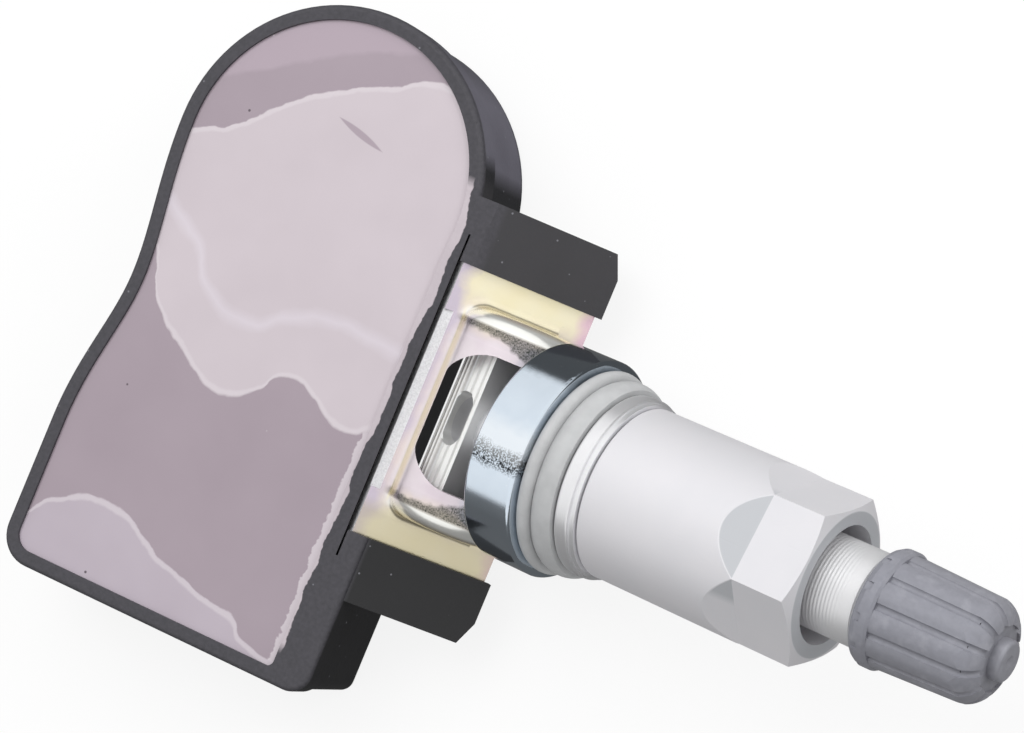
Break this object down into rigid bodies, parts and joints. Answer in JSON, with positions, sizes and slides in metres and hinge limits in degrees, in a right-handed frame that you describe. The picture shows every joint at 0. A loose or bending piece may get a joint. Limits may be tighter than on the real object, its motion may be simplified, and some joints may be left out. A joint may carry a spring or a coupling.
{
  "type": "tyre pressure sensor",
  "caption": "Clamp-in tyre pressure sensor: potted moulded housing, plated bracket and a swivelling metal valve with cup, rubber grommet, washer, long hexagon nut and fluted cap.",
  "frame": {"origin": "under the middle of the whole sensor, on the plane that the housing's back lies on", "axes": "+X from the housing towards the valve, +Y along the housing towards its round end, +Z from the housing's back to its potted face"},
  "size_m": [0.0874, 0.057, 0.0238],
  "materials": {
    "moulding": "fine grained black moulding",
    "potting": "glossy cast resin",
    "board": "green solder mask",
    "cell_steel": "nickel plated",
    "tab_nickel": "rolled nickel strip",
    "chip_case": "matt moulding compound",
    "silicone": "soft",
    "membrane": "porous film",
    "ferrite": "sintered",
    "copper": "enamelled wire",
    "can": "plated lid",
    "capacitor": "sintered",
    "yellow_zinc": "yellow passivated zinc",
    "pin_steel": "bright zinc",
    "blue_zinc": "bright blue passivated zinc",
    "grey_rubber": "moulded, satin",
    "washer_metal": "bright turned",
    "nut_metal": "satin",
    "stem_metal": "satin",
    "core_brass": "turned",
    "core_rubber": "moulded",
    "spring_steel": "drawn",
    "cap_plastic": "satin grey",
    "seal_rubber": "moulded"
  },
  "bodies": {
    "sensor": {"housing": "moulding", "potting_compound": "potting", "circuit_board": "board", "battery_cell": "cell_steel", "battery_tab_top": "tab_nickel", "battery_tab_bottom": "tab_nickel", "sensor_chip": "chip_case", "port_gasket": "silicone", "vent_membrane": "membrane", "ferrite_core": "ferrite", "coil_winding": "copper", "crystal": "can", "chip_capacitors": "capacitor", "bracket": "yellow_zinc"},
    "valve": {"swivel_pin": "pin_steel", "valve_stem": "stem_metal", "seat_cup": "blue_zinc", "grommet": "grey_rubber", "core_body": "core_brass", "core_spring": "spring_steel"},
    "washer_ring": {"washer": "washer_metal"},
    "nut": {"rim_nut": "nut_metal"},
    "core": {"core_pin": "core_brass", "core_seal": "core_rubber"},
    "seal_disc": {"cap_seal": "seal_rubber"},
    "cap": {"valve_cap": "cap_plastic"}
  },
  "joints": [
    {"name": "valve_swivel", "type": "hinge", "parent": "sensor", "child": "valve", "pos_m": [-0.00721, -0.00128, 0.0084], "axis": [0, 1, 0], "range_deg": [-15, 20]},
    {"name": "washer_slide", "type": "slide", "parent": "valve", "child": "washer_ring", "axis": [0.9744, 0, 0.225], "range_m": [0, 0.006]},
    {"name": "nut_turn", "type": "hinge", "parent": "washer_ring", "child": "nut", "pos_m": [-0.00721, -0.00128, 0.0084], "axis": [0.9744, 0, 0.225], "range_deg": [0, 2165]},
    {"name": "cap_travel", "type": "slide", "parent": "valve", "child": "seal_disc", "axis": [0.9744, 0, 0.225], "range_m": [0, 0.009]},
    {"name": "cap_turn", "type": "hinge", "parent": "seal_disc", "child": "cap", "pos_m": [-0.00721, -0.00128, 0.0084], "axis": [0.9744, 0, 0.225], "range_deg": [0, 4090]},
    {"name": "core_push", "type": "slide", "parent": "valve", "child": "core", "axis": [-0.9744, 0, -0.225], "range_m": [0, 0.0012], "stiffness_N_per_m": 400, "springref_m": -0.0015, "deforming": ["core_spring"]}
  ],
  "couplings": [
    {"joint": "nut_turn", "follows": "washer_slide", "rad_per_m": 6283.2},
    {"joint": "cap_turn", "follows": "cap_travel", "rad_per_m": 7915.8}
  ]
}
